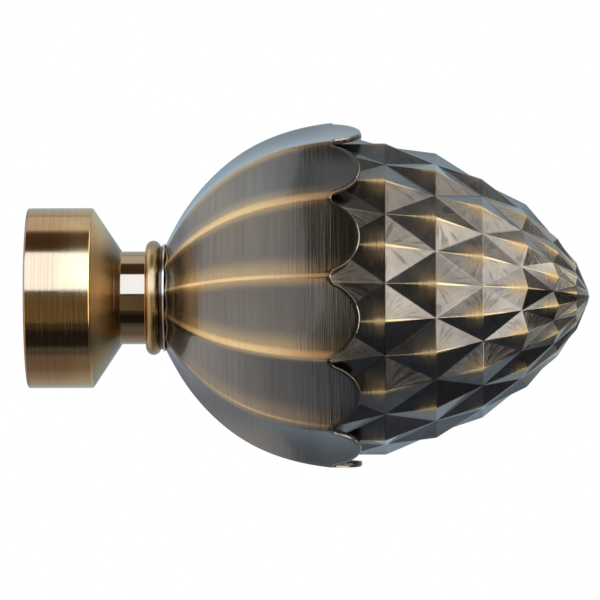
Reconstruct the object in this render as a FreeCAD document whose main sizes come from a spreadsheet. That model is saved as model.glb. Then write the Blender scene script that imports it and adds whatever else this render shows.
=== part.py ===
import FreeCAD, Part
import math
import os
import Sketcher

# Curtain pole finial: a turned socket cap, a bead, a fluted leaf cup and a faceted cone,
# drawn together by one screw from inside the socket.
#
# Frame: millimetres. The origin is the centre of the socket's mouth, +X runs along the
# pole's axis towards the tip and +Z is up. The pole comes in from the -X side.

Vector = FreeCAD.Vector
ORIGIN = Vector(0, 0, 0)
AXIS = Vector(1, 0, 0)

doc = FreeCAD.newDocument("finial")

# Driving sizes in millimetres and degrees: name, value, what it is.
SIZES = [
    ("pole_diameter", 28.0, "pole that the socket slides over"),
    ("socket_clearance", 0.2, "radial play between pole and socket"),
    ("socket_wall", 2.0, "wall of the socket"),
    ("socket_stop", 1.1, "straight socket stops this much short of the collar"),
    ("collar_length", 11.7, "straight outside of the cap"),
    ("collar_edge", 0.4, "rounding of the collar's front edge"),
    ("shoulder_length", 5.25, "cone from the collar down to the neck"),
    ("shoulder_round", 0.4, "rounding of the corner where the collar meets the cone"),
    ("seat_wall", 2.3, "from the screw's seat to the end of the cone"),
    ("seat_margin", 3.2, "flat seat beyond the screw's head"),
    ("neck_radius", 8.35, "neck between the cone and the bead"),
    ("neck_length", 4.35, "neck between the cone and the bead"),
    ("bead_length", 2.6, "rounded bead"),
    ("bead_foot_radius", 9.3, "foot of the bead and floor of the groove"),
    ("bead_height", 1.0, "how far the round stands above its foot"),
    ("groove_length", 0.5, "groove between the bead and its thin ring"),
    ("ring_length", 0.35, "thin ring against the leaf cup"),
    ("ring_radius", 9.65, "thin ring against the leaf cup"),
    ("petal_count", 13, "flutes, lobes and pyramids round the axis"),
    ("petal_turn", 5.1, "angle of the first peak of the cone above the -Y side"),
    ("cup_turn", 1.5, "how far the cup's ridges stand on from the cone's peaks"),
    ("cup_length", 30.2, "leaf cup from the bead to the bottom of its notches"),
    ("cup_foot_radius", 9.5, "leaf cup where it meets the bead"),
    ("cup_rim_radius", 31.5, "ridges at the bottom of the notches"),
    ("cup_wall", 1.1, "sheet thickness of the leaf cup"),
    ("cup_floor", 1.2, "floor of the leaf cup"),
    ("flute_depth", 0.042, "sink of a flute below its ridges, as a part of the radius"),
    ("lobe_length", 5.1, "lobes beyond the bottom of the notches"),
    ("lobe_round", 0.848, "round of a lobe's end, as a part of half its width"),
    ("lobe_flare", 0.4, "how much the ridge line opens along the lobes"),
    ("cone_clearance", 0.5, "gap between the cup's ridges and the peaks of the widest ring"),
    ("cone_length", 46.7, "from the widest ring of pyramids to the tip"),
    ("cone_set_back", 0.4, "widest ring behind the bottom of the notches"),
    ("cone_back_length", 5.0, "plain band behind the widest ring"),
    ("cone_back_step", 3.15, "plain back inside the peaks of the widest ring, hidden in the cup"),
    ("cone_seat_radius", 7.6, "flat end of the cone on the cup's floor"),
    ("screw_diameter", 6.0, "fixing screw through the neck"),
    ("screw_length", 25.0, "fixing screw below its head"),
    ("screw_head_diameter", 10.5, "low button head"),
    ("screw_head_height", 3.3, "low button head"),
    ("screw_head_round", 4.5, "dome of the button head"),
    ("screw_head_land", 0.4, "straight edge under the dome"),
    ("screw_key", 4.0, "hexagon socket across its flats"),
    ("screw_key_depth", 2.1, "hexagon socket"),
    ("screw_chamfer", 0.5, "ends of the fixing screw"),
    ("screw_play", 0.3, "radial play round the fixing screw"),
    ("screw_spare", 2.5, "tapped hole beyond the end of the screw"),
    ("grub_diameter", 4.0, "grub screw that grips the pole"),
    ("grub_length", 3.0, "grub screw that grips the pole"),
    ("grub_key", 2.0, "hexagon socket across its flats"),
    ("grub_key_depth", 1.5, "hexagon socket"),
    ("grub_chamfer", 0.3, "ends of the grub screw"),
    ("grub_place", 5.75, "grub screw from the mouth"),
    ("grub_set_back", 0.05, "grub screw clear of the socket before it is tightened"),
]

# Places along the axis and radii, worked out from those sizes.
PLACES = [
    ("socket_radius", "sizes.pole_diameter / 2 + sizes.socket_clearance"),
    ("collar_radius", "places.socket_radius + sizes.socket_wall"),
    ("socket_depth", "sizes.collar_length - sizes.socket_stop"),
    ("shoulder_end", "sizes.collar_length + sizes.shoulder_length"),
    ("shoulder_fall", "places.collar_radius - sizes.neck_radius"),
    ("shoulder_side", "sqrt(sizes.shoulder_length ^ 2 + places.shoulder_fall ^ 2)"),
    ("corner_reach",
     "sizes.shoulder_round * (places.shoulder_side - sizes.shoulder_length) / places.shoulder_fall"),
    ("corner_end",
     "sizes.collar_length + places.corner_reach * sizes.shoulder_length / places.shoulder_side"),
    ("corner_end_radius",
     "places.collar_radius - places.corner_reach * places.shoulder_fall / places.shoulder_side"),
    ("seat_place", "places.shoulder_end - sizes.seat_wall"),
    ("seat_radius", "sizes.screw_head_diameter / 2 + sizes.seat_margin"),
    ("neck_end", "places.shoulder_end + sizes.neck_length"),
    ("bead_end", "places.neck_end + sizes.bead_length"),
    ("bead_round", "(sizes.bead_length ^ 2 / 4 + sizes.bead_height ^ 2) / (2 * sizes.bead_height)"),
    ("groove_end", "places.bead_end + sizes.groove_length"),
    ("cup_start", "places.groove_end + sizes.ring_length"),
    ("cup_inside", "places.cup_start + sizes.cup_floor"),
    ("notch_place", "places.cup_start + sizes.cup_length"),
    ("lobe_end", "places.notch_place + sizes.lobe_length"),
    ("widest_ring", "places.notch_place - sizes.cone_set_back"),
    ("cone_radius", "sizes.cup_rim_radius - sizes.cup_wall - sizes.cone_clearance"),
    ("cone_back_radius", "places.cone_radius - sizes.cone_back_step"),
    ("screw_hole_radius", "sizes.screw_diameter / 2 + sizes.screw_play"),
    ("screw_end", "places.seat_place + sizes.screw_length"),
]

# Highest degree of the leaf cup's curves along its length.
LOFT_DEGREE = 3

# The ridge line of the leaf cup from its foot to the bottom of the notches: part of the
# cup's length, part of the way from the foot's radius to the rim's.
RIDGE_LINE = [(0.0, 0.0), (0.10, 0.25), (0.27, 0.545), (0.51, 0.80), (0.765, 0.941), (1.0, 1.0)]

# Rings of pyramids from the widest to the last before the tip. For the peaks and then for
# the valleys between them: part of the cone's length, part of the cone's radius.
PYRAMID_RINGS = [
    ((0.000, 1.000), (0.000, 0.951)),
    ((0.210, 0.951), (0.210, 0.904)),
    ((0.404, 0.864), (0.402, 0.823)),
    ((0.582, 0.729), (0.582, 0.686)),
    ((0.752, 0.555), (0.729, 0.545)),
    ((0.872, 0.360), (0.852, 0.371)),
    ((0.945, 0.205), (0.940, 0.195)),
]


def make_sheet():
    """Put the driving sizes in the spreadsheet, each under its own name."""
    sheet = doc.addObject("Spreadsheet::Sheet", "sizes")
    for row, (name, value, note) in enumerate(SIZES, start=1):
        sheet.set("A%d" % row, name)
        sheet.set("B%d" % row, str(value))
        sheet.set("C%d" % row, note)
        sheet.setAlias("B%d" % row, name)
    doc.recompute()
    return sheet


def make_places():
    """Bind each worked-out place to its formula over the sheet."""
    places = doc.addObject("App::FeaturePython", "places")
    for name, formula in PLACES:
        places.addProperty("App::PropertyFloat", name)
        places.setExpression(name, formula.replace("places.", ""))
    doc.recompute()
    return places


sizes = make_sheet()
places = make_places()


def body_plane(body, role):
    """One of the body's own origin planes."""
    return next(item for item in body.Origin.OriginFeatures if item.Role == role)


def number_of(formula):
    """The value of a formula over the sheet and the places."""
    probe = doc.addObject("App::FeaturePython", "probe")
    probe.addProperty("App::PropertyFloat", "number")
    probe.setExpression("number", formula)
    probe.recompute()
    value = probe.number
    doc.removeObject(probe.Name)
    return value


def round_between(start, end, radius):
    """Outward round from one corner to the next, which lies further along +X."""
    chord = end - start
    drop = math.sqrt(radius ** 2 - chord.Length ** 2 / 4)
    inward = Vector(chord.y, -chord.x, 0).normalize()
    centre = (start + end) / 2 + inward * drop
    first = math.atan2(end.y - centre.y, end.x - centre.x)
    last = math.atan2(start.y - centre.y, start.x - centre.x)
    circle = Part.Circle(centre, Vector(0, 0, 1), radius)
    return Part.ArcOfCircle(circle, first, last)


def add_profile(body, name, corners):
    """Closed sketch in the XY plane through corners given as formulas for x and radius.

    A corner may carry a third formula: the radius of the round that joins it to the next
    corner. Every corner and round is bound to its formula.
    """
    sketch = body.newObject("Sketcher::SketchObject", name)
    sketch.AttachmentSupport = (body_plane(body, "XY_Plane"), "")
    sketch.MapMode = "FlatFace"
    points = [Vector(number_of(corner[0]), number_of(corner[1]), 0) for corner in corners]
    for index, corner in enumerate(corners):
        start = points[index]
        end = points[(index + 1) % len(points)]
        if len(corner) == 2:
            sketch.addGeometry(Part.LineSegment(start, end))
        else:
            sketch.addGeometry(round_between(start, end, number_of(corner[2])))
    for index, corner in enumerate(corners):
        bind_corner(sketch, corners, index)
    return sketch


def bind_corner(sketch, corners, index):
    """Join one piece of the outline to the piece before it and bind its first corner."""
    corner = corners[index]
    before = (index - 1) % len(corners)
    starts_at = 1 if len(corner) == 2 else 2
    before_ends_at = 2 if len(corners[before]) == 2 else 1
    sketch.addConstraint(
        Sketcher.Constraint("Coincident", before, before_ends_at, index, starts_at))
    for direction, formula in (("DistanceX", corner[0]), ("DistanceY", corner[1])):
        if formula == "0":
            line = -2 if direction == "DistanceX" else -1
            sketch.addConstraint(Sketcher.Constraint("PointOnObject", index, starts_at, line))
            continue
        row = sketch.addConstraint(
            Sketcher.Constraint(direction, -1, 1, index, starts_at, number_of(formula)))
        sketch.setExpression("Constraints[%d]" % row, formula)
    if len(corner) == 3:
        row = sketch.addConstraint(Sketcher.Constraint("Radius", index, number_of(corner[2])))
        sketch.setExpression("Constraints[%d]" % row, corner[2])


def turned_body(label, corners):
    """A body turned round the X axis from one closed profile."""
    body = doc.addObject("PartDesign::Body", label)
    body.Label = label
    sketch = add_profile(body, label + "_profile", corners)
    turned = body.newObject("PartDesign::Revolution", label + "_turned")
    turned.Profile = sketch
    turned.ReferenceAxis = (sketch, ["H_Axis"])
    turned.Angle = 360
    doc.recompute()
    return body


def sink_hexagon(body, flats, depth, place):
    """Cut a hexagon socket along X, from its floor at one place out through the -X end."""
    before = body.Shape.Volume
    socket = body.newObject("PartDesign::SubtractivePrism", body.Label + "_key_socket")
    socket.Polygon = 6
    socket.setExpression("Circumradius", "%s / sqrt(3)" % flats)
    socket.setExpression("Height", depth)
    socket.Placement = FreeCAD.Placement(ORIGIN, FreeCAD.Rotation(Vector(0, 1, 0), 90))
    socket.setExpression("Placement.Base.x", place)
    doc.recompute()
    check_cut(body, before)


def check_cut(body, volume_before):
    """A cut that removes nothing points the wrong way."""
    if body.Shape.Volume > volume_before - 1e-3:
        raise ValueError("nothing was cut from " + body.Label)


def make_pole_cap():
    """Collar with a blind socket for the pole, a cone and a neck, turned from one bar."""
    body = turned_body("pole_cap", [
        ("0", "places.socket_radius"),
        ("0", "places.collar_radius - sizes.collar_edge", "sizes.collar_edge"),
        ("sizes.collar_edge", "places.collar_radius"),
        ("sizes.collar_length - places.corner_reach", "places.collar_radius", "sizes.shoulder_round"),
        ("places.corner_end", "places.corner_end_radius"),
        ("places.shoulder_end", "sizes.neck_radius"),
        ("places.neck_end", "sizes.neck_radius"),
        ("places.neck_end", "places.screw_hole_radius"),
        ("places.seat_place", "places.screw_hole_radius"),
        ("places.seat_place", "places.seat_radius"),
        ("places.socket_depth", "places.socket_radius"),
    ])
    before = body.Shape.Volume
    hole = body.newObject("PartDesign::SubtractiveCylinder", "grub_hole")
    hole.setExpression("Radius", "sizes.grub_diameter / 2")
    hole.setExpression("Height", "places.collar_radius + sizes.socket_wall")
    hole.Placement = FreeCAD.Placement(ORIGIN, FreeCAD.Rotation(Vector(1, 0, 0), -90))
    hole.setExpression("Placement.Base.x", "sizes.grub_place")
    doc.recompute()
    check_cut(body, before)
    return body


def make_neck_bead():
    """Turned spacer: a round bead, a groove and a thin ring against the leaf cup."""
    return turned_body("neck_bead", [
        ("places.neck_end", "places.screw_hole_radius"),
        ("places.neck_end", "sizes.bead_foot_radius", "places.bead_round"),
        ("places.bead_end", "sizes.bead_foot_radius"),
        ("places.groove_end", "sizes.bead_foot_radius"),
        ("places.groove_end", "sizes.ring_radius"),
        ("places.cup_start", "sizes.ring_radius"),
        ("places.cup_start", "places.screw_hole_radius"),
    ])


def petal_step():
    """Angle from one ridge to the next, in radians."""
    return 2 * math.pi / sizes.petal_count


def round_axis(x, radius, angle):
    """Point at an angle from the -Y side upwards, in radians, turned on with the petals."""
    turned = angle + math.radians(sizes.petal_turn)
    return Vector(x, -radius * math.cos(turned), radius * math.sin(turned))


def fluted_section(x, ridge_radius):
    """Closed outline at one place: a hollow arc for each flute, meeting in sharp ridges."""
    step = petal_step()
    hollow_radius = ridge_radius * (1 - sizes.flute_depth)
    arcs = []
    for petal in range(int(sizes.petal_count)):
        ridge = petal * step + math.radians(sizes.cup_turn)
        first = round_axis(x, ridge_radius, ridge)
        middle = round_axis(x, hollow_radius, ridge + step / 2)
        last = round_axis(x, ridge_radius, ridge + step)
        arcs.append(Part.Arc(first, middle, last).toShape())
    return Part.Wire(arcs)


def fluted_solid(stations):
    """Smooth solid through fluted sections given as place and ridge radius."""
    sections = [fluted_section(x, radius) for x, radius in stations]
    return Part.makeLoft(sections, True, False, False, LOFT_DEGREE)


def ridge_stations():
    """Places and radii of the cup's outer ridge line, on past the ends of the lobes."""
    climb = sizes.cup_rim_radius - sizes.cup_foot_radius
    stations = [(places.cup_start + along * sizes.cup_length,
                 sizes.cup_foot_radius + out * climb) for along, out in RIDGE_LINE]
    stations.append((places.lobe_end + sizes.cup_wall, sizes.cup_rim_radius + sizes.lobe_flare))
    return stations


def line_through(stations):
    """Smooth curve in the XY plane through places and radii."""
    curve = Part.BSplineCurve()
    curve.interpolate([Vector(x, radius, 0) for x, radius in stations])
    return curve


def radius_at(curve, x):
    """Radius of a curve in the XY plane where it passes a place along the axis."""
    upright = Part.LineSegment(Vector(x, 0, 0), Vector(x, 2 * sizes.cup_rim_radius, 0))
    return curve.intersect(upright)[0].Y


def inner_stations(outer):
    """The outer ridge line moved in by the wall, square to itself, from the cup's floor."""
    curve = line_through(outer)
    inner = []
    for x, radius in outer:
        tangent = curve.tangent(curve.parameter(Vector(x, radius, 0)))[0]
        inner.append((x + sizes.cup_wall * tangent.y, radius - sizes.cup_wall * tangent.x))
    last_x, last_radius = inner[-1]
    inner.append((last_x + sizes.cup_wall, last_radius))
    floor = (places.cup_inside, radius_at(line_through(inner), places.cup_inside))
    return [floor] + inner[1:]


def notch_cutter():
    """Prism that leaves the round ends of two neighbouring lobes and the notch between.

    It is drawn in the plane that touches the cup at a ridge: across is the distance from
    the ridge, along is the place on the axis. The notch's own round touches both lobes.
    """
    across = sizes.cup_rim_radius * (1 - sizes.flute_depth / 2) * math.sin(petal_step() / 2)
    lobe_radius = sizes.lobe_round * across
    lobe_centre = places.lobe_end - lobe_radius
    rise = sizes.lobe_length - lobe_radius
    notch_radius = (across ** 2 + rise ** 2 - lobe_radius ** 2) / (2 * sizes.lobe_length)
    notch_centre = places.notch_place + notch_radius
    slant = math.hypot(across, lobe_centre - notch_centre)
    touch_along = notch_centre + notch_radius * (lobe_centre - notch_centre) / slant
    touch_across = notch_radius * across / slant
    half_turn = math.radians(45) + math.atan2(lobe_centre - touch_along, across - touch_across) / 2
    mid_along = lobe_centre + lobe_radius * math.sin(half_turn)
    mid_across = across - lobe_radius * math.cos(half_turn)
    far_along = places.lobe_end + 2 * sizes.lobe_length
    far_across = 2 * across

    def at(along, sideways):
        return Vector(along, -sizes.cup_rim_radius / 2, sideways)

    outline = [
        Part.Arc(at(places.lobe_end, across), at(mid_along, mid_across),
                 at(touch_along, touch_across)).toShape(),
        Part.Arc(at(touch_along, touch_across), at(places.notch_place, 0),
                 at(touch_along, -touch_across)).toShape(),
        Part.Arc(at(touch_along, -touch_across), at(mid_along, -mid_across),
                 at(places.lobe_end, -across)).toShape(),
        Part.makePolygon([at(places.lobe_end, -across), at(places.lobe_end, -far_across),
                          at(far_along, -far_across), at(far_along, far_across),
                          at(places.lobe_end, far_across), at(places.lobe_end, across)]),
    ]
    edges = [edge for piece in outline for edge in piece.Edges]
    face = Part.Face(Part.Wire(Part.__sortEdges__(edges)))
    return face.extrude(Vector(0, -sizes.cup_rim_radius, 0))


def make_leaf_cup():
    """Pressed cup: hollow flutes between sharp ridges, round lobes, a hole in its floor."""
    outer = ridge_stations()
    shell = fluted_solid(outer).cut(fluted_solid(inner_stations(outer)))
    hole = Part.makeCylinder(places.screw_hole_radius, sizes.cup_length, ORIGIN, AXIS)
    hole.translate(Vector(places.cup_start - sizes.cup_floor, 0, 0))
    shell = shell.cut(hole)
    cutter = notch_cutter()
    cutters = []
    for petal in range(int(sizes.petal_count)):
        ridge = math.degrees(petal * petal_step()) + sizes.petal_turn + sizes.cup_turn
        turned = cutter.copy()
        turned.rotate(ORIGIN, AXIS, -ridge)
        cutters.append(turned)
    feature = doc.addObject("Part::Feature", "leaf_cup")
    feature.Label = "leaf_cup"
    feature.Shape = shell.cut(cutters)
    return feature


def pyramid_ring(number):
    """Corners of one ring: peaks and valleys in turn, every other ring half a step on."""
    peak, valley = PYRAMID_RINGS[number]
    corners = []
    for half_step in range(2 * int(sizes.petal_count)):
        is_peak = (half_step + number) % 2 == 0
        along, out = peak if is_peak else valley
        corners.append(round_axis(places.widest_ring + along * sizes.cone_length,
                                  out * places.cone_radius, half_step * petal_step() / 2))
    return corners


def plain_ring(x, radius):
    """Corners of a ring with no pyramids on it."""
    return [round_axis(x, radius, half_step * petal_step() / 2)
            for half_step in range(2 * int(sizes.petal_count))]


def triangle(first, second, third):
    """Flat face through three corners."""
    return Part.Face(Part.makePolygon([first, second, third, first]))


def facets_between(ring, following, ridge_first):
    """Two triangles for each half step, split along the valley that crosses it."""
    faces = []
    count = len(ring)
    for here in range(count):
        there = (here + 1) % count
        if (here % 2 == 0) == ridge_first:
            faces.append(triangle(ring[here], ring[there], following[here]))
            faces.append(triangle(following[there], following[here], ring[there]))
        else:
            faces.append(triangle(ring[here], ring[there], following[there]))
            faces.append(triangle(ring[here], following[there], following[here]))
    return faces


def make_faceted_cone():
    """Cast cone of diamond pyramids, its plain back seated on the cup's floor."""
    tip = Vector(places.widest_ring + sizes.cone_length, 0, 0)
    seat = plain_ring(places.cup_inside, sizes.cone_seat_radius)
    back = plain_ring(places.widest_ring - sizes.cone_back_length, places.cone_back_radius)
    rings = [pyramid_ring(number) for number in range(len(PYRAMID_RINGS))]
    count = len(back)
    faces = [Part.Face(Part.makePolygon(seat + seat[:1]))]
    for here in range(count):
        there = (here + 1) % count
        faces.append(Part.Face(Part.makePolygon(
            [seat[here], seat[there], back[there], back[here], seat[here]])))
        faces.append(triangle(rings[-1][here], rings[-1][there], tip))
    faces += facets_between(back, rings[0], False)
    for number in range(len(rings) - 1):
        faces += facets_between(rings[number], rings[number + 1], number % 2 == 0)
    solid = Part.makeSolid(Part.makeShell(faces))
    if solid.Volume < 0:
        solid.reverse()
    hole = Part.makeCylinder(sizes.screw_diameter / 2,
                             places.screw_end + sizes.screw_spare - places.neck_end,
                             Vector(places.neck_end, 0, 0), AXIS)
    feature = doc.addObject("Part::Feature", "faceted_cone")
    feature.Label = "faceted_cone"
    feature.Shape = solid.cut(hole)
    return feature


def make_fixing_screw():
    """Socket screw from inside the cap, through neck, bead and cup into the cone."""
    head_end = "places.seat_place - sizes.screw_head_height"
    body = turned_body("fixing_screw", [
        (head_end, "0"),
        (head_end, "sizes.screw_key * 0.75", "sizes.screw_head_round"),
        ("places.seat_place - sizes.screw_head_land", "sizes.screw_head_diameter / 2"),
        ("places.seat_place", "sizes.screw_head_diameter / 2"),
        ("places.seat_place", "sizes.screw_diameter / 2"),
        ("places.screw_end - sizes.screw_chamfer", "sizes.screw_diameter / 2"),
        ("places.screw_end", "sizes.screw_diameter / 2 - sizes.screw_chamfer"),
        ("places.screw_end", "0"),
    ])
    sink_hexagon(body, "sizes.screw_key", "sizes.screw_key_depth", head_end)
    return body


def make_grub_screw():
    """Headless screw through the collar's wall, on the side away from the viewer."""
    body = turned_body("grub_screw", [
        ("0", "0"),
        ("0", "sizes.grub_diameter / 2 - sizes.grub_chamfer"),
        ("sizes.grub_chamfer", "sizes.grub_diameter / 2"),
        ("sizes.grub_length - sizes.grub_chamfer", "sizes.grub_diameter / 2"),
        ("sizes.grub_length", "sizes.grub_diameter / 2 - sizes.grub_chamfer"),
        ("sizes.grub_length", "0"),
    ])
    sink_hexagon(body, "sizes.grub_key", "sizes.grub_key_depth", "0")
    body.Placement = FreeCAD.Placement(ORIGIN, FreeCAD.Rotation(Vector(0, 0, 1), -90))
    body.setExpression("Placement.Base.x", "sizes.grub_place")
    body.setExpression("Placement.Base.y",
                       "places.socket_radius + sizes.grub_set_back + sizes.grub_length")
    return body


PARTS = [
    make_pole_cap(),
    make_neck_bead(),
    make_leaf_cup(),
    make_faceted_cone(),
    make_fixing_screw(),
    make_grub_screw(),
]
doc.recompute()

for item in doc.Objects:
    if "Invalid" in item.State or "Error" in item.State:
        raise ValueError(item.Label + " did not compute")

for part in PARTS:
    shape = part.Shape
    if shape.isNull() or not shape.isValid() or len(shape.Solids) != 1:
        raise ValueError(part.Label + " is not one valid solid")

os.makedirs("parts", exist_ok=True)
for part in PARTS:
    part.Shape.exportStep("parts/%s.step" % part.Label)
    box = part.Shape.BoundBox
    print("%-14s %9.1f mm3  x %6.2f..%6.2f  y %6.2f..%6.2f  z %6.2f..%6.2f" % (
        part.Label, part.Shape.Volume, box.XMin, box.XMax,
        box.YMin, box.YMax, box.ZMin, box.ZMax))
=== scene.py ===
# %% [markdown]
# # Curtain pole finial in antique brass
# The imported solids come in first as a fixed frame. Everything after that dresses them: two
# finer surfaces for the leaf cup and the diamond cone, and a finish for every visible node.
# Units are metres, X runs along the pole's axis towards the tip and Z is up.

# %% the frame
import math
import bpy
import numpy as np
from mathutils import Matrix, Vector


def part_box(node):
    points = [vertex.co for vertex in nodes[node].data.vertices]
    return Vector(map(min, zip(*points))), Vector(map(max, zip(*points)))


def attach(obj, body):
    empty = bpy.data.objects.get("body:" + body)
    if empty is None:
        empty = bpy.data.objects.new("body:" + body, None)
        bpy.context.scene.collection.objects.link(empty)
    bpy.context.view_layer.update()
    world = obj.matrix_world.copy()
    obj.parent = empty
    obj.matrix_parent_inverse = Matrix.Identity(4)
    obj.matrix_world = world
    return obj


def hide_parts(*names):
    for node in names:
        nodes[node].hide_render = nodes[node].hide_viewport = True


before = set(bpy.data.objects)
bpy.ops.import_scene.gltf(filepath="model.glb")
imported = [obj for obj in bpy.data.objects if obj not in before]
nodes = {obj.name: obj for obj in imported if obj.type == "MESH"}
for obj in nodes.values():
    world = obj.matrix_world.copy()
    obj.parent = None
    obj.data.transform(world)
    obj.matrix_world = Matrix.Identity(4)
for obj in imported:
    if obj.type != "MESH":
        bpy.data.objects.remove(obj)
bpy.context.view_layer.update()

MM = 0.001
for name in sorted(nodes):
    low, high = [[round(place / MM, 1) for place in corner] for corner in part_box(name)]
    print("%-13s from %s to %s mm" % (name, low, high))

# %% [markdown]
# ## Sizes that both surfaces share
# Thirteen flutes, lobes and pyramids go round the axis, so one step is 360/13 degrees. The
# cone's first peak stands 5.1 degrees above the side that faces the camera, and the cup was
# screwed up 1.5 degrees past it. These are the same values that drive the solids, so the
# surfaces land exactly where the solids are.

# %% sizes
PETALS = 13
STEP = 2 * math.pi / PETALS
TURN = math.radians(5.1)
CUP_TURN = math.radians(1.5)
CUP_START = 24.75 * MM
CUP_FLOOR = 1.2 * MM
CUP_WALL = 1.1 * MM
NOTCH_PLACE = 54.95 * MM
LOBE_END = 60.05 * MM
HOLE_RADIUS = 3.3 * MM
FOOT_RADIUS = 9.5 * MM
RIM_RADIUS = 31.5 * MM
FLUTE_DEPTH = 0.042
print("one petal is %.2f degrees, %.1f mm of rim" % (math.degrees(STEP), RIM_RADIUS * STEP / MM))

# %% [markdown]
# ## Building a surface from numbers
# A mesh can be made from two arrays: where the points are and which points each face joins.
# The helpers below take whole arrays at once, which is far quicker than adding points one
# by one. A grid of points that closes both ways round becomes a closed skin.

# %% mesh helpers
def around(x, radius, angle):
    """Points at a place on the axis, a radius and an angle: from the -Y side, turning up."""
    turned = angle + TURN
    return np.stack([x + 0 * turned, -radius * np.cos(turned), radius * np.sin(turned)], axis=-1)


def grid_faces(rows, columns):
    """Quads between neighbouring points of a grid whose columns and rows both close."""
    row, column = np.meshgrid(np.arange(rows), np.arange(columns), indexing="ij")
    next_row = (row + 1) % rows
    next_column = (column + 1) % columns
    quads = np.stack([row * columns + column, row * columns + next_column,
                      next_row * columns + next_column, next_row * columns + column], axis=-1)
    return quads.reshape(-1, 4)


def make_object(name, points, faces):
    """A mesh object at the origin from an array of points and a list of faces."""
    mesh = bpy.data.meshes.new(name)
    mesh.from_pydata(points.reshape(-1, 3).tolist(), [], faces)
    mesh.validate()
    piece = bpy.data.objects.new(name, mesh)
    bpy.context.scene.collection.objects.link(piece)
    return piece


def face_outward(piece):
    """Turns the faces outward where the enclosed volume comes out negative.

    The volume is the sum over all triangles of a . (b x c) / 6, with a, b and c the corners.
    """
    mesh = piece.data
    mesh.calc_loop_triangles()
    corners = np.zeros(len(mesh.loop_triangles) * 3, np.int32)
    mesh.loop_triangles.foreach_get("vertices", corners)
    spots = np.zeros(len(mesh.vertices) * 3)
    mesh.vertices.foreach_get("co", spots)
    a, b, c = spots.reshape(-1, 3)[corners.reshape(-1, 3)].transpose(1, 0, 2)
    volume = np.einsum("ij,ij->i", a, np.cross(b, c)).sum() / 6
    if volume < 0:
        mesh.flip_normals()
    counts = (piece.name, len(mesh.vertices), len(mesh.polygons), abs(volume) / MM ** 3)
    print("%s: %d points, %d faces, %.0f mm3" % counts)


# %% [markdown]
# ## The leaf cup
# The cup is a pressed sheet: thirteen hollow flutes meet in ridges, and each flute ends in a
# round lobe over the cone. Sculpting it by hand would never match the solid, so its points
# come from two questions. How far out is a ridge at a place along the axis, and how much
# nearer is the hollow at an angle between two ridges? The first answer is a smooth curve
# through seven points, each a share of the cup's length and of its growth in radius.

# %% the ridge line
RIDGE_PLACES = np.array([0.0, 0.10, 0.27, 0.51, 0.765, 1.0, 1.2053])
RIDGE_GROWTH = np.array([0.0, 0.25, 0.545, 0.80, 0.941, 1.0, 1.0182])
ridge_x = CUP_START + RIDGE_PLACES * (NOTCH_PLACE - CUP_START)
ridge_r = FOOT_RADIUS + RIDGE_GROWTH * (RIM_RADIUS - FOOT_RADIUS)
chord = np.concatenate([[0], np.cumsum(np.hypot(np.diff(ridge_x), np.diff(ridge_r)))])


def natural_bend(knots, values):
    """Second derivatives at the knots of the natural cubic spline through the values.

    Neighbouring cubics share their slope at each knot, which gives one equation per inner
    knot. The spline is straight at both ends.
    """
    gap = np.diff(knots)
    rise = np.diff(values) / gap
    system = np.diag(2 * (gap[:-1] + gap[1:])) + np.diag(gap[1:-1], 1) + np.diag(gap[1:-1], -1)
    inner = np.linalg.solve(system, 6 * np.diff(rise))
    return np.concatenate([[0], inner, [0]])


def spline_at(values, travel):
    """The natural spline through values at the knots in chord, at distances along the line."""
    bend = natural_bend(chord, values)
    place = np.clip(np.searchsorted(chord, travel) - 1, 0, len(chord) - 2)
    gap = chord[place + 1] - chord[place]
    after = (travel - chord[place]) / gap
    before = 1 - after
    return (before * values[place] + after * values[place + 1] + gap ** 2 / 6
            * ((before ** 3 - before) * bend[place] + (after ** 3 - after) * bend[place + 1]))


LINE_POINTS = 2000
travel = np.linspace(0, chord[-1], LINE_POINTS)
line_x = spline_at(ridge_x, travel)
line_r = spline_at(ridge_r, travel)
line_tilt = np.arctan(np.gradient(line_r, line_x))
inside_x = line_x + CUP_WALL * np.sin(line_tilt)
inside_r = line_r - CUP_WALL * np.cos(line_tilt)
print("ridge radius at the notches %.2f mm" % (np.interp(NOTCH_PLACE, line_x, line_r) / MM))

# %% [markdown]
# The second answer is an arc. A flute's section is a piece of a circle between two ridges,
# and the ridges are rounded a little, because a real brushed ridge is never a knife edge.
# The sheet's end is found in the same way: two circles that touch, one for the lobe and one
# for the small notch between two lobes.

# %% flutes and lobes
RIDGE_ROUNDING = 0.33 * MM
LOBE_SHARE = 0.848
HALF = STEP / 2


def hollow(angle, radius):
    """Part of the ridge's radius that a flute keeps at an angle.

    With the ridge's radius as 1, an arc of a circle joins two ridges and comes down to
    1 - FLUTE_DEPTH half way between them. Its centre lies outside, and the law of cosines
    gives the distance from the axis to the arc at each angle.
    """
    from_ridge = np.mod(angle + HALF, STEP) - HALF
    from_ridge = np.sqrt(from_ridge ** 2 + (RIDGE_ROUNDING / radius) ** 2)
    from_middle = np.maximum(HALF - from_ridge, 0)
    sag = math.cos(HALF) - (1 - FLUTE_DEPTH)
    arc = (sag ** 2 + math.sin(HALF) ** 2) / (2 * sag)
    centre = 1 - FLUTE_DEPTH + arc
    return centre * np.cos(from_middle) - np.sqrt(arc ** 2 - (centre * np.sin(from_middle)) ** 2)


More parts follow.
